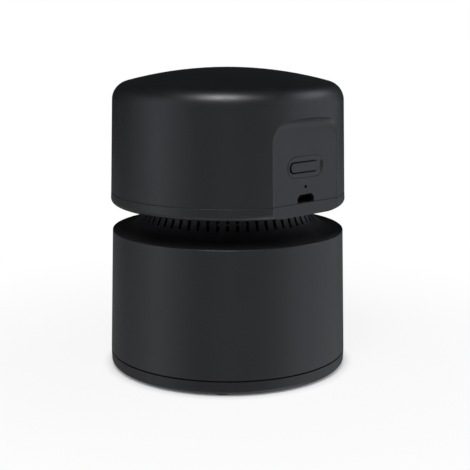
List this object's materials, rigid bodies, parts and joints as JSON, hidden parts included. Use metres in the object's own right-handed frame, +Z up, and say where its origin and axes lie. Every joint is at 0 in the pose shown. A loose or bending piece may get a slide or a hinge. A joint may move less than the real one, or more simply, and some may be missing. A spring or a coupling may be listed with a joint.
{
  "type": "desktop mini vacuum cleaner",
  "caption": "Cordless tabletop crumb vacuum: domed head with button and charging port over a slotted collar that lifts off a round dust cup.",
  "frame": {"origin": "centre of the footprint, on the surface that the glide pads stand on", "axes": "+Z up along the body's axis, -Y towards the flat control panel"},
  "size_m": [0.0878, 0.0878, 0.1098],
  "materials": {
    "shell_black": "satin, very fine grain",
    "base_black": "satin, a shade darker than the shell",
    "button_black": "satin",
    "collar_gloss": "polished black",
    "inner_plastic": "plain moulded",
    "impeller_plastic": "natural moulded nylon",
    "soft_rubber": "soft, matte",
    "bristle_nylon": "fine nylon bristles",
    "screw_steel": "zinc plated",
    "can_steel": "drawn and plated",
    "magnet_iron": "grey, matte",
    "copper_wire": "enamelled copper",
    "bush_bronze": "sintered",
    "board_green": "solder mask",
    "chip_black": "moulded",
    "nickel_plate": "plated",
    "port_black": "drawn steel, blackened",
    "lamp_clear": "smoked, clear",
    "cell_wrap": "shrink sleeve",
    "lead_red": "silicone insulation",
    "lead_black": "silicone insulation",
    "filter_paper": "pleated filter paper"
  },
  "bodies": {
    "dust_bin": {"dust_cup": "shell_black", "base_cover": "base_black", "base_screws": "screw_steel", "glide_pads": "soft_rubber", "brush_bars": "inner_plastic", "brush_tufts": "bristle_nylon"},
    "motor_unit": {"vent_collar": "collar_gloss", "seal_ring": "soft_rubber", "fan_shroud": "inner_plastic", "shroud_screws": "screw_steel", "collar_screws": "screw_steel", "head_base": "shell_black", "head_cover": "shell_black", "cover_screws": "screw_steel", "control_board": "board_green", "board_screws": "screw_steel", "board_chips": "chip_black", "tact_switch": "chip_black", "usb_socket": "port_black", "usb_tongue": "chip_black", "status_led": "lamp_clear", "status_light_pipe": "lamp_clear", "motor_can": "can_steel", "motor_magnets": "magnet_iron", "motor_end_cap": "inner_plastic", "motor_terminals": "copper_wire", "motor_bushes": "bush_bronze", "motor_screws": "screw_steel", "battery_cell": "cell_wrap", "battery_cradle": "inner_plastic", "battery_tabs": "nickel_plate", "cradle_screws": "screw_steel", "motor_leads": "lead_red", "battery_leads": "lead_black"},
    "rotor": {"impeller": "impeller_plastic", "motor_shaft": "can_steel", "armature_core": "magnet_iron", "armature_coils": "copper_wire", "commutator": "copper_wire"},
    "power_button": {"power_button": "button_black", "switch_plunger": "chip_black"},
    "filter": {"filter_frame": "inner_plastic", "filter_pleats": "filter_paper"}
  },
  "joints": [
    {"name": "head_lift", "type": "slide", "parent": "dust_bin", "child": "motor_unit", "axis": [0, 0, 1], "range_m": [0, 0.05]},
    {"name": "rotor_spin", "type": "hinge", "parent": "motor_unit", "child": "rotor", "pos_m": [0, 0, 0.0544], "axis": [0, 0, 1], "continuous": true},
    {"name": "button_press", "type": "slide", "parent": "motor_unit", "child": "power_button", "axis": [0, 1, 0], "range_m": [0, 0.0005], "stiffness_N_per_m": 900, "springref_m": -0.001},
    {"name": "filter_pull", "type": "slide", "parent": "motor_unit", "child": "filter", "axis": [0, 0, -1], "range_m": [0, 0.0085]}
  ]
}
